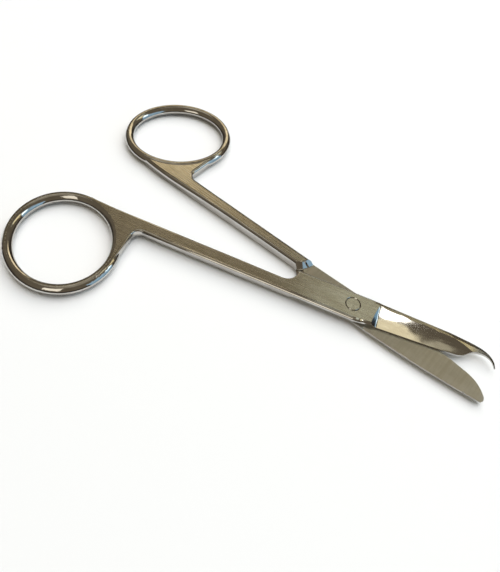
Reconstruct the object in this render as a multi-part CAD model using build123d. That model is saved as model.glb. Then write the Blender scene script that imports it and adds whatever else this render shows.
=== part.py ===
from build123d import *
import math
import os

os.makedirs("parts", exist_ok=True)

# Suture scissors: two forged steel halves lapped at the joint and held by one pivot screw.
# The hook half lies on top and the plain half below it. All sizes are millimetres and degrees.
# The origin is on the pivot axis, on the underside of the joint. +X runs along the middle line
# of the open blades towards their tips, and +Z points up out of the flat side.
# Each half is drawn closed, with its ring and its cutting edge on the -Y side and its lap face
# looking down, and is then turned into place.

# Pose of the two halves
opening = 15.66
lap_clearance = 0.04

# Forged stock
plate_thickness = 1.55
shank_thickness = 2.8
outer_edge_radius = 0.4
inner_edge_radius = 0.75

# Lap joint
plate_back = 14.3
plate_back_straight = 0.6
crotch_radius = 3.1
shoulder_set_back = 1.1
shoulder_set_out = 1.75
shoulder_radius = 3.7
shoulder_ramp = 1.42
shoulder_foot_radius = 0.3
shoulder_edge_radius = 0.35
shoulder_edge_reach = 1.0
relief_width = 1.6
relief_height = 0.9
relief_start = 1.65
blade_root = 6.0
root_overlap = 1.0
root_ease = 2.0
hook_spine = 3.42
plain_spine = 3.05
hook_plate_back_edge = 3.65
hook_plate_edge = 3.5
plain_plate_back_edge = 3.95
plain_plate_edge = 4.3
corner_bevel_start = -1.5
corner_bevel_width = 0.95
corner_bevel_depth = 0.5

# Shank
shank_inner = 0.6
hook_inner_at_ring = 0.87
plain_inner_at_ring = 0.0
shank_outer_at_ring = 4.0
heel_start = 57.0
heel_end_x = -67.3
heel_end_y = -0.5
web_corner = 53.5
web_fillet = 2.1
web_foot_x = -53.35
web_foot_y = -14.6

# Finger rings
ring_centre_x = -66.43
ring_centre_y = -14.04
ring_hole_short = 10.7
ring_hole_long = 12.3
ring_tilt = 39.5
ring_width = 2.3
ring_thickness = 3.1
ring_crown_radius = 0.85

# Pivot screw
screw_shank_radius = 1.1
screw_head_radius = 1.7
screw_head_height = 0.6
screw_bevel = 0.13
running_clearance = 0.04
thread_clearance = 0.01
slot_width = 0.32
slot_depth = 0.14
slot_turn = 97.0

# Blades
edge_land = 0.45
bevel_start = 6.5
bevel_slope = 7.5
wheel_radius = 40.0
wheel_cone_run = 1.6
wheel_cone_rise = 1.2
wheel_rim_radius = 0.8

# Hook blade
hook_tip_x = 34.45
hook_tip_y = -0.55
hook_edge_at_root = 3.0
hook_root_x = 31.5
hook_root_y = 1.72
hook_belly_x = 24.4
hook_belly_y = -1.37
hook_taper_start = 11.0
hook_tip_thickness = 0.17
hook_spine_land = 1.2

# Plain blade
plain_tip_x = 34.05
plain_belly_x = 20.0
plain_belly_y = -4.3
plain_spine_mid_y = 2.36
plain_spine_end_y = 0.95
plain_taper_start = 8.0
plain_tip_thickness = 0.8
plain_spine_land = 0.3
plain_spine_bevel_start = -5.0
nick_x = 29.8
nick_y = 1.5
nick_radius = 0.28

# Far enough out to clear the part, for whatever is cut away
clear_of_part = 45.0

lap_level = lap_clearance / 2
top_level = lap_level + plate_thickness
bottom_level = top_level - shank_thickness


def filled(*edges):
    return make_face(Wire(list(edges)))


def ring():
    # Oval rod bent into a finger ring: a tight crown arc above and below, a flatter arc each side.
    half_w = ring_width / 2
    half_t = ring_thickness / 2
    rise = half_t - ring_crown_radius
    side_radius = (half_w ** 2 + rise ** 2 - ring_crown_radius ** 2) / (2 * (half_w - ring_crown_radius))
    lean = math.atan2(rise, side_radius - half_w)
    reach_x = ring_crown_radius * math.cos(lean)
    reach_z = rise + ring_crown_radius * math.sin(lean)
    section = filled(
        ThreePointArc((-reach_x, reach_z), (0, half_t), (reach_x, reach_z)),
        ThreePointArc((reach_x, reach_z), (half_w, 0), (reach_x, -reach_z)),
        ThreePointArc((reach_x, -reach_z), (0, -half_t), (-reach_x, -reach_z)),
        ThreePointArc((-reach_x, -reach_z), (-half_w, 0), (-reach_x, reach_z)),
    )
    short = ring_hole_short + half_w
    path = Wire([Edge.make_ellipse(short, ring_hole_long + half_w)])
    start = Plane(origin=(short, 0, 0), x_dir=(1, 0, 0), z_dir=(0, -1, 0))
    rod = sweep(start * section, path)
    return Pos(ring_centre_x, ring_centre_y) * Rot(0, 0, ring_tilt) * rod


def ring_middle_face():
    middle = Ellipse(ring_hole_short + ring_width / 2, ring_hole_long + ring_width / 2)
    return Pos(ring_centre_x, ring_centre_y) * Rot(0, 0, ring_tilt) * middle


def within_ring(point):
    turn = math.radians(ring_tilt)
    dx, dy = point.X - ring_centre_x, point.Y - ring_centre_y
    across = (dx * math.cos(turn) + dy * math.sin(turn)) / (ring_hole_short + ring_width)
    along = (dy * math.cos(turn) - dx * math.sin(turn)) / (ring_hole_long + ring_width)
    return across ** 2 + along ** 2 < 1


def rim(body, level):
    # Edges of the profile at one level, without the blade end and the edges sunk in the ring.
    return [
        e
        for e in body.edges().filter_by(lambda e: abs(e.center().Z - level) < 1e-6)
        if e.center().X < blade_root - 1e-6 and not within_ring(e.center())
    ]


def same_edge(one, other):
    return (one.center() - other.center()).length < 1e-4


def blank(spine, inner_at_ring, plate_back_edge, plate_edge, blade_edge):
    # Shank, web and joint plate as one profile, before the lap is cut away from below.
    crotch_x = -plate_back - crotch_radius
    crotch_y = crotch_radius - shank_inner
    top = Line((blade_root, spine), (-plate_back, crotch_y + plate_back_straight))
    back = Line(top @ 1, (-plate_back, crotch_y))
    crotch = ThreePointArc(
        back @ 1,
        (
            crotch_x + crotch_radius * math.cos(math.radians(-45)),
            crotch_y + crotch_radius * math.sin(math.radians(-45)),
        ),
        (crotch_x, -shank_inner),
    )
    inner = TangentArc(crotch @ 1, (-heel_start, -inner_at_ring), tangent=(-1, 0))
    heel = TangentArc(inner @ 1, (heel_end_x, heel_end_y), tangent=inner % 1)
    inside = Polyline(heel @ 1, (ring_centre_x, ring_centre_y), (web_foot_x, web_foot_y))
    web_up = Line(inside @ 1, (-web_corner, -shank_outer_at_ring - web_fillet))
    web_round = ThreePointArc(
        web_up @ 1,
        (
            -web_corner + web_fillet * (1 - math.cos(math.radians(45))),
            -shank_outer_at_ring - web_fillet * (1 - math.sin(math.radians(45))),
        ),
        (-web_corner + web_fillet, -shank_outer_at_ring),
    )
    outer = Polyline(
        web_round @ 1,
        (-plate_back, -plate_back_edge),
        (blade_root - root_ease, -plate_edge),
        (blade_root, -blade_edge),
    )
    front = Line(outer @ 1, top @ 0)
    profile = filled(
        top, back, crotch, inner, heel, *inside.edges(), web_up, web_round, *outer.edges(), front
    )
    profile -= ring_middle_face()
    body = Pos(0, 0, bottom_level) * extrude(profile, amount=shank_thickness)
    upper = rim(body, top_level)
    lower = rim(body, bottom_level)
    body = fillet(upper, outer_edge_radius)
    return fillet([e for e in body.edges() if any(same_edge(e, k) for k in lower)], inner_edge_radius)


def lap_cutter():
    # What is taken off below the lap face. It leaves a round shoulder at the end of the shank, with
    # a broken upper edge, that runs down to the lap face as a ramp with a cove at its foot. Its
    # centre is set from that of the other half's crotch.
    shoulder_x = -plate_back - crotch_radius - shoulder_set_back
    shoulder_y = shank_inner - crotch_radius - shoulder_set_out
    foot = (shoulder_radius + shoulder_ramp, lap_level)
    upper_edge = (shoulder_radius, bottom_level)
    run_out = shoulder_radius - shoulder_edge_reach
    below = bottom_level - shoulder_edge_reach
    around = Polyline(
        upper_edge,
        foot,
        (clear_of_part, lap_level),
        (clear_of_part, below),
        (run_out, below),
        (run_out, bottom_level),
        upper_edge,
    )
    profile = filled(*around.edges())
    corners = profile.vertices()
    profile = fillet(corners.sort_by_distance(foot).first, shoulder_foot_radius)
    profile = fillet(profile.vertices().sort_by_distance(upper_edge).first, shoulder_edge_radius)
    cutter = revolve(Plane.XZ * profile, Axis.Z)
    beside_shank = Box(
        clear_of_part, 2 * clear_of_part, 2 * clear_of_part, align=(Align.MIN, Align.CENTER, Align.CENTER)
    )
    return Pos(shoulder_x, shoulder_y, 0) * (cutter & beside_shank)


def crotch_relief():
    # Cone taken off under the crotch, so that it rides up the other half's ramp when closed.
    cone = Cone(
        crotch_radius + relief_width,
        crotch_radius,
        relief_height,
        align=(Align.CENTER, Align.CENTER, Align.MIN),
    )
    cone = Pos(-plate_back - crotch_radius, crotch_radius - shank_inner, lap_level) * cone
    lapped = Box(
        clear_of_part, clear_of_part, clear_of_part, align=(Align.MIN, Align.CENTER, Align.CENTER)
    )
    return cone & Pos(-plate_back - crotch_radius + relief_start, 0, 0) * lapped


def spine_taper(start, tip_x, tip_thickness):
    # Everything above the outer face of a blade that thins towards its tip along a long arc.
    drop = plate_thickness - tip_thickness
    radius = ((tip_x - start) ** 2 + drop ** 2) / (2 * drop)
    far_x = tip_x + plate_thickness

    def face_level(x):
        return top_level - radius + math.sqrt(radius ** 2 - (x - start) ** 2)

    middle_x = (start + far_x) / 2
    arc = ThreePointArc((start, top_level), (middle_x, face_level(middle_x)), (far_x, face_level(far_x)))
    above = top_level + plate_thickness
    lid = Polyline(arc @ 1, (far_x, above), (start, above), arc @ 0)
    return extrude(Plane.XZ * filled(arc, *lid.edges()), amount=clear_of_part, both=True)


def ground_bevel(start_y, end_x, end_y):
    # The hollow-ground face is what a large wheel leaves whose axle lies along the blade. It starts
    # at the land over the cutting edge, and the wheel's coned and rounded rim shapes its root.
    run = math.degrees(math.atan2(end_y - start_y, end_x - bevel_start))
    slope = math.radians(bevel_slope)
    wheel = Rot(0, 90, 0) * Cylinder(
        wheel_radius, clear_of_part, align=(Align.CENTER, Align.CENTER, Align.MIN)
    )
    rim_side = wheel.faces().sort_by(Axis.X)[0]
    wheel = chamfer(rim_side.edges(), wheel_cone_rise, wheel_cone_run, reference=rim_side)
    wheel = fillet(wheel.edges().filter_by(GeomType.CIRCLE).sort_by(Axis.X)[1], wheel_rim_radius)
    axle = Pos(0, -wheel_radius * math.sin(slope), wheel_radius * math.cos(slope))
    edge_line = Pos(bevel_start - wheel_cone_run, start_y, lap_level + edge_land) * Rot(0, 0, run)
    return edge_line * axle * wheel


def spine_bevel(spine, land):
    # Corner ground off along the outer edge of the spine at 45 degrees, above an upright land.
    reach = 2 * plate_thickness
    start = spine.start_point()
    along = spine.tangent_at(0)
    across = Plane(origin=(start.X, start.Y, lap_level + land), x_dir=(-along.Y, along.X, 0), z_dir=along)
    corner = Polyline((0, 0), (-reach, reach), (reach, reach), (reach, -reach), (0, 0))
    return sweep(across * filled(*corner.edges()), spine)


def corner_bevel():
    # Flat polished on the outer corner of the hook half's plate, widening towards the blade.
    start = Vector(corner_bevel_start, -hook_plate_edge, top_level)
    inward = Vector(blade_root, corner_bevel_width - hook_plate_edge, top_level)
    downward = Vector(blade_root, -hook_plate_edge, top_level - corner_bevel_depth)
    normal = (downward - start).cross(inward - start)
    plane = Plane(origin=start, x_dir=inward - start, z_dir=normal)
    behind_blade = Pos(blade_root, 0, 0) * Box(
        clear_of_part, clear_of_part, clear_of_part, align=(Align.MAX, Align.CENTER, Align.CENTER)
    )
    cut_off = Box(
        clear_of_part, clear_of_part, plate_thickness, align=(Align.CENTER, Align.CENTER, Align.MIN)
    )
    return plane * cut_off & behind_blade


def with_hook_blade(body):
    root = blade_root - root_overlap
    spine = Line((root, hook_spine), (hook_tip_x - 12.0, hook_spine - 0.12))
    outer = Spline(
        spine @ 1,
        (hook_tip_x - 7.4, hook_spine - 0.2),
        (hook_tip_x - 4.7, hook_spine - 0.32),
        (hook_tip_x - 2.5, hook_spine - 0.75),
        (hook_tip_x - 1.15, hook_spine - 1.5),
        (hook_tip_x - 0.4, hook_spine - 2.4),
        (hook_tip_x, hook_tip_y),
        tangents=[(1, -0.01), (0.1, -1)],
    )
    point = Line(outer @ 1, (hook_tip_x - 0.22, hook_tip_y + 0.05))
    notch = Spline(
        point @ 1,
        (hook_root_x + 2.2, hook_root_y - 1.05),
        (hook_root_x + 1.3, hook_root_y - 0.3),
        (hook_root_x, hook_root_y),
        (hook_root_x - 1.25, hook_root_y - 0.14),
        (hook_root_x - 2.45, hook_root_y - 0.5),
        (hook_root_x - 3.3, hook_root_y - 1.12),
        (hook_root_x - 4.1, hook_root_y - 1.88),
        (hook_root_x - 4.95, hook_root_y - 2.52),
        (hook_belly_x, hook_belly_y),
        tangents=[(-0.35, 1), (-1, -0.084)],
        tangent_scalars=(1, 0.5),
    )
    edge = Line(notch @ 1, (root, -hook_edge_at_root))
    close = Line(edge @ 1, spine @ 0)
    outline = filled(spine, outer, point, notch, edge, close)
    blade = Pos(0, 0, lap_level) * extrude(outline, amount=plate_thickness)
    blade -= spine_taper(hook_taper_start, hook_tip_x, hook_tip_thickness)
    blade -= spine_bevel(Wire([spine]), hook_spine_land)
    return body + blade - ground_bevel(-hook_edge_at_root, hook_belly_x, hook_belly_y) - corner_bevel()


def with_plain_blade(body):
    root = blade_root - root_overlap
    edge = Line((root, -plain_plate_edge), (plain_belly_x, plain_belly_y))
    belly = Spline(
        edge @ 1,
        (plain_tip_x - 7.2, plain_belly_y + 0.42),
        (plain_tip_x - 3.0, plain_belly_y + 1.32),
        (plain_tip_x - 0.55, plain_belly_y + 3.15),
        (plain_tip_x, 0),
        tangents=[(1, 0), (0.05, 1)],
    )
    tip = TangentArc(belly @ 1, (plain_tip_x - 0.8, plain_spine_end_y), tangent=belly % 1)
    spine = ThreePointArc(tip @ 1, (19.6, plain_spine_mid_y), (root, plain_spine))
    close = Line(spine @ 1, edge @ 0)
    outline = filled(edge, belly, tip, spine, close)
    blade = Pos(0, 0, lap_level) * extrude(outline, amount=plate_thickness)
    blade -= spine_taper(plain_taper_start, plain_tip_x, plain_tip_thickness)
    rear = ThreePointArc((plain_spine_bevel_start, plain_spine), (19.6, plain_spine_mid_y), tip @ 1)
    run_out = Line(rear @ 1, rear @ 1 + 2 * (rear % 1))
    nick = Pos(nick_x, nick_y, lap_level) * Sphere(nick_radius)
    body = body + blade - spine_bevel(Wire([rear, run_out]), plain_spine_land) - nick
    return body - ground_bevel(-plain_plate_edge, plain_belly_x, plain_belly_y)


def placed(body, side):
    # side 1 is the upper half as drawn, side -1 is the lower half turned over about the X axis.
    turned = body if side == 1 else Rot(180, 0, 0) * body
    return Pos(0, 0, top_level) * Rot(0, 0, side * opening / 2) * turned


def pivot_screw():
    # Drawn about the lap plane with its head up. Its tail ends flush with the lower half.
    shank = Pos(0, 0, -top_level) * Cylinder(
        screw_shank_radius, 2 * top_level - screw_head_height, align=(Align.CENTER, Align.CENTER, Align.MIN)
    )
    head = Pos(0, 0, top_level - screw_head_height) * Cylinder(
        screw_head_radius, screw_head_height, align=(Align.CENTER, Align.CENTER, Align.MIN)
    )
    head = chamfer(head.edges().group_by(Axis.Z)[-1], screw_bevel)
    slot = Pos(0, 0, top_level - slot_depth) * Rot(0, 0, slot_turn) * Box(
        4 * screw_head_radius, slot_width, 2 * slot_depth, align=(Align.CENTER, Align.CENTER, Align.MIN)
    )
    return shank + head - slot


def screw_seat():
    # What the screw takes out of the upper half: a clear hole and a flush seat for the head.
    hole = Cylinder(screw_shank_radius + running_clearance, 4 * top_level)
    seat_radius = screw_head_radius + running_clearance
    seat = Pos(0, 0, top_level - screw_head_height - running_clearance) * Cylinder(
        seat_radius, 2 * screw_head_height, align=(Align.CENTER, Align.CENTER, Align.MIN)
    )
    mouth = Pos(0, 0, top_level - screw_bevel) * Cone(
        seat_radius,
        seat_radius + 2 * screw_bevel,
        2 * screw_bevel,
        align=(Align.CENTER, Align.CENTER, Align.MIN),
    )
    return hole + seat + mouth


hook_blank = blank(
    hook_spine, hook_inner_at_ring, hook_plate_back_edge, hook_plate_edge, hook_edge_at_root
)
hook_half = with_hook_blade(hook_blank - lap_cutter() - crotch_relief()) + ring() - screw_seat()
plain_blank = blank(
    plain_spine, plain_inner_at_ring, plain_plate_back_edge, plain_plate_edge, plain_plate_edge
)
plain_half = with_plain_blade(plain_blank - lap_cutter() - crotch_relief()) + ring()
plain_half -= Cylinder(screw_shank_radius + thread_clearance, 4 * top_level)

nodes = {
    "hook_half": placed(hook_half, 1),
    "plain_half": placed(plain_half, -1),
    "pivot_screw": Pos(0, 0, top_level) * pivot_screw(),
}

for name, solid in nodes.items():
    export_step(solid, f"parts/{name}.step")
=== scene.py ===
import math

import bpy
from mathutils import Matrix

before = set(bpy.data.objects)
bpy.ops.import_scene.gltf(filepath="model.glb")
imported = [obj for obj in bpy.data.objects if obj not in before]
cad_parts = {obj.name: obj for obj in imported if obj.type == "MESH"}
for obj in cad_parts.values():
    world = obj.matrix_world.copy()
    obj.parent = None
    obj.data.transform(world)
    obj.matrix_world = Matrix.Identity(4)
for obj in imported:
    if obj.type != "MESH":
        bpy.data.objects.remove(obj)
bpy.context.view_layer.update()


# Hook half: a stainless forging. Its flat side is ground satin along its length. Rims, finger
# ring and hollow-ground blade face are polished on a felt wheel. The lap face is ground across.
class Reading:
    """A number that changes over a surface. Arithmetic on it adds Math nodes."""

    def __init__(self, bench, socket):
        self.bench = bench
        self.socket = socket

    def math(self, operation, *values):
        return self.bench.node("ShaderNodeMath", {"operation": operation}, dict(enumerate(values)))

    def __add__(self, other):
        return self.math("ADD", self, other)

    __radd__ = __add__

    def __sub__(self, other):
        return self.math("SUBTRACT", self, other)

    def __rsub__(self, other):
        return self.math("SUBTRACT", other, self)

    def __neg__(self):
        return self.math("MULTIPLY", self, -1.0)

    def __mul__(self, other):
        return self.math("MULTIPLY", self, other)

    __rmul__ = __mul__

    def __abs__(self):
        return self.math("ABSOLUTE", self)

    def root(self):
        return self.math("SQRT", self)

    def beyond(self, limit):
        """How far it is past the limit, 0 before it."""
        return self.math("MAXIMUM", self - limit, 0.0)

    def rises(self, low, high):
        """0 below low, 1 above high, smooth between them."""
        return self.bench.node(
            "ShaderNodeMapRange",
            {"interpolation_type": "SMOOTHSTEP"},
            {"Value": self, "From Min": low, "From Max": high},
        )


class NodeBench:
    """Where the nodes of one tree are put together."""

    def __init__(self, tree):
        self.tree = tree

    def node(self, kind, settings, inputs, output=0):
        made = self.tree.nodes.new(kind)
        for name, value in settings.items():
            setattr(made, name, value)
        for name, value in inputs.items():
            self.feed(made.inputs[name], value)
        return Reading(self, made.outputs[output])

    def feed(self, socket, value):
        if isinstance(value, Reading):
            self.tree.links.new(value.socket, socket)
        else:
            socket.default_value = value

    def parts(self, vector):
        first = self.node("ShaderNodeSeparateXYZ", {}, {"Vector": vector})
        return [Reading(self, socket) for socket in first.socket.node.outputs]

    def blend(self, share, first, second):
        """Colours mixed. A Mix node has its colours on inputs 6 and 7 and on output 2."""
        colours = {"Factor": share, 6: first, 7: second}
        return self.node("ShaderNodeMix", {"data_type": "RGBA"}, colours, output=2)


class SteelFinish(NodeBench):
    """One half's steel, in the half's own directions: x along it, y across it."""

    def __init__(self, name, turn):
        self.material = bpy.data.materials.new(name)
        self.material.use_nodes = True
        super().__init__(self.material.node_tree)
        self.surface = self.tree.nodes["Principled BSDF"]
        self.surface.inputs["Metallic"].default_value = 1.0
        self.place = self.turned(self.node("ShaderNodeTexCoord", {}, {}, output="Object"), turn)
        facing = self.turned(self.node("ShaderNodeTexCoord", {}, {}, output="Normal"), turn)
        self.x, self.y, self.z = self.parts(self.place)
        self.face_y, self.face_z = self.parts(facing)[1:]

    def turned(self, vector, turn, shift=0.0):
        """The vector turned about z. A shift lays a pattern elsewhere, so that no two coincide."""
        placing = {"Vector": vector, "Rotation": (0, 0, turn), "Location": (shift, shift, 0)}
        return self.node("ShaderNodeMapping", {"vector_type": "POINT"}, placing)

    def grain(self, changes, detail, turn=0.0, shift=0.0):
        """Noise that changes so often in a metre of x, y and z, and is finer with more detail."""
        laid = {0: self.turned(self.place, turn, shift), 1: changes}
        drawn = self.node("ShaderNodeVectorMath", {"operation": "MULTIPLY"}, laid)
        noise = {"Vector": drawn, "Scale": 1.0, "Detail": detail, "Roughness": 0.6}
        return self.node("ShaderNodeTexNoise", {}, noise)

    def colour(self, colour):
        self.feed(self.surface.inputs["Base Color"], colour)

    def roughness(self, share):
        self.feed(self.surface.inputs["Roughness"], share)

    def relief(self, height):
        """Height over the solid's surface, in metres."""
        bump = self.node("ShaderNodeBump", {}, {"Height": height, "Strength": 1.0, "Distance": 1.0})
        self.feed(self.surface.inputs["Normal"], bump)

    def dress(self, obj):
        obj.data.materials.clear()
        obj.data.materials.append(self.material)


# Where the finishes meet, in metres. The lap level is the height of the plane between the halves.
OPENING = 15.66
HALF_TURN = math.radians(OPENING / 2)
LAP_LEVEL = 0.00157
LAP_BAND = 0.00012
FLAT_OVER_LAP = 0.00155
RING_END = -0.056
SHANK_START = -0.04
BLADE_ROOT = 0.0049
SPINE_STRIP = 0.00245
STRIP_WANDER = 0.0008
BORDER = 0.0001
HOOK_START = 0.0275
SCREW_SURROUND = 0.0022
SCREW_FADE = 0.0005
EDGE_END = 0.001
EDGE_LEVEL = 0.0007

# How a face is told by its facing: level with the flat, turned outwards, leaning to one side
LEVEL_FACE = (0.990, 0.9985)
OUTER_FACE = (0.2, 0.4)
LEANING_FACE = (0.006, 0.012)

# How strongly the shading rounds and slopes the surface
RIM_LEAN = 0.35
RIM_EASE = 0.0002
EDGE_LEAN = 1.5
EDGE_EASE = 0.00035
GRIND_SLOPE = 0.24
HOOK_DROOP = 20

# How often each mark changes in a metre along the half, across it and through it
WAVE_GRAIN = (240, 240, 240)
FINE_GRAIN = (260, 9000, 900)
STREAK_GRAIN = (35, 2800, 400)
CROSS_FINE_GRAIN = (7000, 220, 900)
CROSS_STREAK_GRAIN = (1500, 110, 400)
BLOTCH_GRAIN = (180, 420, 300)
SPECK_GRAIN = (1500, 2600, 900)
SCUFF_GRAIN = (420, 5200, 5200)
CROSS_GRIND = math.radians(6)

# Depth of the grinding marks and of the waves that the felt wheel leaves
MARK_DEPTH = 0.000006
SCUFF_SHARE = 0.015
WAVE_DEPTH = 0.000015

# Each finish is a clean colour, its stained shade and the part of a grain where one passes into
# the other, then a roughness and how much its marks add to it
POLISHED = (0.60, 0.59, 0.56, 1)
POLISHED_SHADE = (0.50, 0.48, 0.445, 1)
POLISHED_STAIN = (0.35, 0.7)
POLISHED_ROUGHNESS = 0.065
SCUFFED = 0.03
SCUFF_EDGE = (0.5, 0.75)
SATIN = (0.66, 0.63, 0.545, 1)
SATIN_SHADE = (0.56, 0.525, 0.43, 1)
SATIN_STAIN = (0.4, 0.6)
SATIN_ROUGHNESS = 0.21
STREAKED = 0.05
STREAK_EDGE = (0.35, 0.65)
ACROSS = (0.64, 0.62, 0.56, 1)
ACROSS_SHADE = (0.54, 0.52, 0.46, 1)
ACROSS_STAIN = (0.38, 0.62)
ACROSS_ROUGHNESS = 0.33
CROSS_STREAKED = 0.12


def ground_and_polished(name, turn, hollow_side):
    """hollow_side is the sign of z on the side where the blade is hollow ground."""
    steel = SteelFinish(name, turn)

    # Which finish a point has
    flat = abs(steel.face_z).rises(*LEVEL_FACE)
    on_blade = steel.x.rises(BLADE_ROOT - BORDER, BLADE_ROOT + BORDER)
    outer_side = (steel.face_z * hollow_side).rises(*OUTER_FACE)
    leaning = outer_side * (steel.face_y * steel.face_y).rises(*LEANING_FACE)
    wave = steel.grain(WAVE_GRAIN, detail=1)
    spineward = steel.y * hollow_side + (wave - 0.5) * STRIP_WANDER
    spine_strip = on_blade * leaning * spineward.rises(SPINE_STRIP - BORDER, SPINE_STRIP + BORDER)
    hollow = on_blade * leaning * (1 - spine_strip)
    lap = flat * (1 - abs(steel.z - LAP_LEVEL).rises(LAP_BAND, 2 * LAP_BAND))
    satin = (flat * (1 - hollow) * (1 - lap) + spine_strip).rises(0.0, 1.0)
    ground = satin + lap
    polished = 1 - ground

    # Marks of the stone along the half and across the lap face, stains, and scuffs of the wheel
    fine = steel.grain(FINE_GRAIN, detail=5)
    streak = steel.grain(STREAK_GRAIN, detail=3, shift=0.3)
    cross_fine = steel.grain(CROSS_FINE_GRAIN, detail=4, turn=CROSS_GRIND)
    cross_streak = steel.grain(CROSS_STREAK_GRAIN, detail=4, turn=CROSS_GRIND, shift=0.2)
    blotch = steel.grain(BLOTCH_GRAIN, detail=4, shift=0.5)
    speck = steel.grain(SPECK_GRAIN, detail=3, shift=0.9)
    scuff = steel.grain(SCUFF_GRAIN, detail=5, shift=0.7)

    satin_clean = (streak * 0.15 + blotch * 0.55 + speck * 0.3).rises(*SATIN_STAIN)
    across_clean = (cross_streak * 0.6 + blotch * 0.4).rises(*ACROSS_STAIN)
    polished_clean = blotch.rises(*POLISHED_STAIN)
    satin_tone = steel.blend(satin_clean, SATIN_SHADE, SATIN)
    across_tone = steel.blend(across_clean, ACROSS_SHADE, ACROSS)
    polished_tone = steel.blend(polished_clean, POLISHED_SHADE, POLISHED)
    steel.colour(steel.blend(lap, steel.blend(satin, polished_tone, satin_tone), across_tone))

    polished_rough = POLISHED_ROUGHNESS + SCUFFED * scuff.rises(*SCUFF_EDGE)
    satin_rough = SATIN_ROUGHNESS + STREAKED * streak.rises(*STREAK_EDGE) + STREAKED * fine
    across_rough = ACROSS_ROUGHNESS + CROSS_STREAKED * cross_streak.rises(*STREAK_EDGE)
    steel.roughness(polished_rough * polished + satin_rough * satin + across_rough * lap)

    # Rims fall away on both sides of the lap level, a shank's long edge towards its flat
    from_lap = steel.z - LAP_LEVEL
    on_shank = steel.x.rises(RING_END, SHANK_START)
    rim_round = FLAT_OVER_LAP - (from_lap * from_lap + RIM_EASE ** 2).root()
    past_edge = from_lap * hollow_side - EDGE_LEVEL
    edge_drop = (past_edge + (past_edge * past_edge + EDGE_EASE ** 2).root()) * 0.5
    beside_screw = abs(steel.y).rises(SCREW_SURROUND, SCREW_SURROUND + SCREW_FADE)
    edged = on_shank * (1 - steel.x.rises(EDGE_END, BLADE_ROOT)) * beside_screw
    edge_round = (FLAT_OVER_LAP - EDGE_LEVEL - edge_drop) * EDGE_LEAN * edged
    rounding = (rim_round * RIM_LEAN * (1 - on_shank) + edge_round) * (1 - flat)

    # The hollow slopes off to the satin strip along the spine, and falls towards the hook's tip
    strip_slope = spineward.beyond(SPINE_STRIP) * on_blade * -GRIND_SLOPE
    past_hollow = steel.x.beyond(HOOK_START)
    hook_fall = past_hollow * past_hollow * outer_side * -HOOK_DROOP

    satin_marks = (fine * 0.4 + streak * 0.35 + speck * 0.3) * satin
    across_marks = (cross_fine * 0.5 + cross_streak * 1.2) * lap
    marks = satin_marks + across_marks + scuff * SCUFF_SHARE * polished
    steel.relief(marks * MARK_DEPTH + wave * polished * WAVE_DEPTH + rounding + strip_slope + hook_fall)
    return steel


ground_and_polished("hook_half_steel", -HALF_TURN, 1).dress(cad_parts["hook_half"])


# Plain half: the same forging turned over, so its ground flat lies on the table. The inner
# face of its blade shows with the marks of grinding across it, and its shank is satin.
ground_and_polished("plain_half_steel", HALF_TURN, -1).dress(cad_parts["plain_half"])


# Pivot screw: turned from steel bar. Its head is ground down with the joint, so the same satin
# marks run over it and only its outline and the trace of the slot are left.
ground_and_polished("screw_steel", -HALF_TURN, 1).dress(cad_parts["pivot_screw"])


# Table: a round board, painted matt white, that the scissors lie on. It reaches far enough to
# fill the picture below the horizon from every side, and lies a hair below the steel.
TABLE_RADIUS = 1.1
TABLE_LEVEL = -0.00002
TABLE_SIDES = 96
MATT_WHITE = (0.9, 0.9, 0.9, 1)
MATT_ROUGHNESS = 0.9

table_rim = []
for side in range(TABLE_SIDES):
    around = 2 * math.pi * side / TABLE_SIDES
    table_rim.append((TABLE_RADIUS * math.cos(around), TABLE_RADIUS * math.sin(around), TABLE_LEVEL))
table_mesh = bpy.data.meshes.new("table")
table_mesh.from_pydata(table_rim, [], [range(TABLE_SIDES)])
white_paint = bpy.data.materials.new("table_white")
white_paint.use_nodes = True
paint = white_paint.node_tree.nodes["Principled BSDF"].inputs
paint["Base Color"].default_value = MATT_WHITE
paint["Roughness"].default_value = MATT_ROUGHNESS
paint["Specular IOR Level"].default_value = 0.0
table_mesh.materials.append(white_paint)
table_top = bpy.data.objects.new("table", table_mesh)
bpy.context.scene.collection.objects.link(table_top)


# Light: a lamp high behind the blades, a cool window at the right, warm cards behind and in
# front, and a dim warm room that the steel mirrors, dark towards the horizon.
def lamp(name, azimuth, zenith, distance, size, radiance, colour, shape="RECTANGLE", mirrored=True):
    """Flat soft light aimed at the joint. Azimuth is from +X towards +Y, zenith from straight up."""
    tall, wide = size
    light = bpy.data.lights.new(name, "AREA")
    light.shape = shape
    light.size = tall
    light.size_y = wide
    light.energy = radiance * math.pi * tall * wide
    light.color = colour
    fixture = bpy.data.objects.new(name, light)
    around, down = math.radians(azimuth), math.radians(zenith)
    fixture.location = (
        distance * math.cos(around) * math.sin(down),
        distance * math.sin(around) * math.sin(down),
        distance * math.cos(down),
    )
    fixture.rotation_euler = (0, down, around)
    fixture.visible_glossy = mirrored
    bpy.context.scene.collection.objects.link(fixture)


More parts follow.
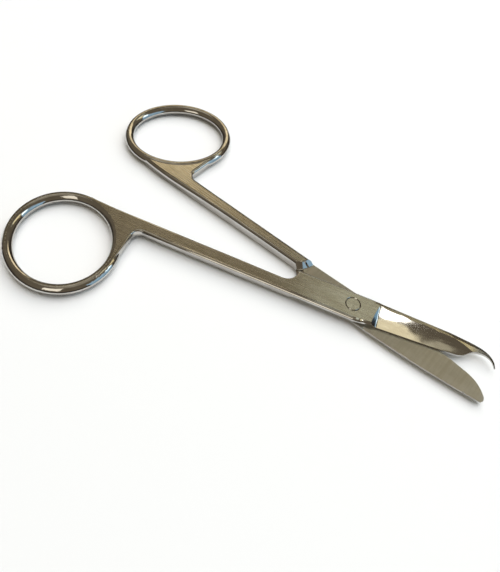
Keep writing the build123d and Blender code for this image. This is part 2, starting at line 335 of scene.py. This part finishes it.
lamp("ceiling_lamp", 44, 17.8, 0.8, (0.052, 0.092), 4.0, (1.0, 0.98, 0.92), shape="ELLIPSE")
lamp("cream_card", 64, 23, 1.0, (0.15, 0.17), 1.15, (1.0, 0.9, 0.62))
lamp("grey_card", 50, 26.6, 1.0, (0.045, 0.07), 0.45, (1.0, 0.94, 0.7))
lamp("pale_card", 86, 38, 1.0, (0.2, 0.22), 0.62, (0.92, 1.0, 0.86))
lamp("window", 12, 66, 1.0, (0.8, 0.95), 0.72, (0.38, 0.7, 1.0))
lamp("sky_pane", 37, 50, 0.95, (0.14, 0.2), 2.2, (0.8, 0.93, 1.0))
lamp("gold_card", 60, 48, 1.0, (0.16, 0.3), 1.15, (1.0, 0.86, 0.5))
lamp("back_card", 118, 55, 1.0, (0.26, 0.5), 1.3, (1.0, 0.84, 0.56))
lamp("side_card", 156, 24, 1.0, (0.26, 0.4), 0.4, (1.0, 0.95, 0.8))
lamp("front_card", -86, 46, 1.0, (0.4, 0.42), 1.3, (1.0, 0.94, 0.82))
lamp("behind_fill", 90, 28, 1.5, (2.2, 2.2), 2.4, (0.94, 0.97, 1.0), mirrored=False)

HORIZON = (0.03, 0.024, 0.022, 1)
WALL = (0.165, 0.137, 0.098, 1)
CEILING = (0.36, 0.32, 0.25, 1)
BELOW = (0.6, 0.6, 0.6, 1)
BACKDROP = (1.0, 1.0, 1.0, 1)

# Between which heights one tone of the room passes into the next, as the sine of the elevation
INTO_WALL = (0.12, 0.5)
INTO_CEILING = (0.93, 0.985)
INTO_BELOW = (0.02, 0.1)

room = bpy.data.worlds.new("room")
bpy.context.scene.world = room
room.use_nodes = True
walls = NodeBench(room.node_tree)
upward = walls.parts(walls.node("ShaderNodeTexCoord", {}, {}, output="Generated"))[2]
mirrored = walls.blend(upward.rises(*INTO_WALL), HORIZON, WALL)
mirrored = walls.blend(upward.rises(*INTO_CEILING), mirrored, CEILING)
mirrored = walls.blend((-upward).rises(*INTO_BELOW), mirrored, BELOW)
seen_directly = walls.node("ShaderNodeLightPath", {}, {}, output="Is Camera Ray")
room_tone = walls.blend(seen_directly, mirrored, BACKDROP)
walls.feed(room.node_tree.nodes["Background"].inputs["Color"], room_tone)


# Camera: stands over the near side of the joint, a hand's width above the table, as the
# photograph was taken. Its place and lens follow from the outline of the scissors in it.
CAMERA_PLACE = (-0.003715, -0.066542, 0.091265)
CAMERA_TURN = (33.264, -8.186, 30.043)
LENS = 29.66
SENSOR_WIDTH = 36
NEAREST_SEEN = 0.001

camera_data = bpy.data.cameras.new("camera")
camera_data.sensor_width = SENSOR_WIDTH
camera_data.lens = LENS
camera_data.clip_start = NEAREST_SEEN
camera = bpy.data.objects.new("camera", camera_data)
camera.location = CAMERA_PLACE
camera.rotation_euler = [math.radians(turn) for turn in CAMERA_TURN]
bpy.context.scene.collection.objects.link(camera)
bpy.context.scene.camera = camera
bpy.context.scene.view_settings.view_transform = "Standard"
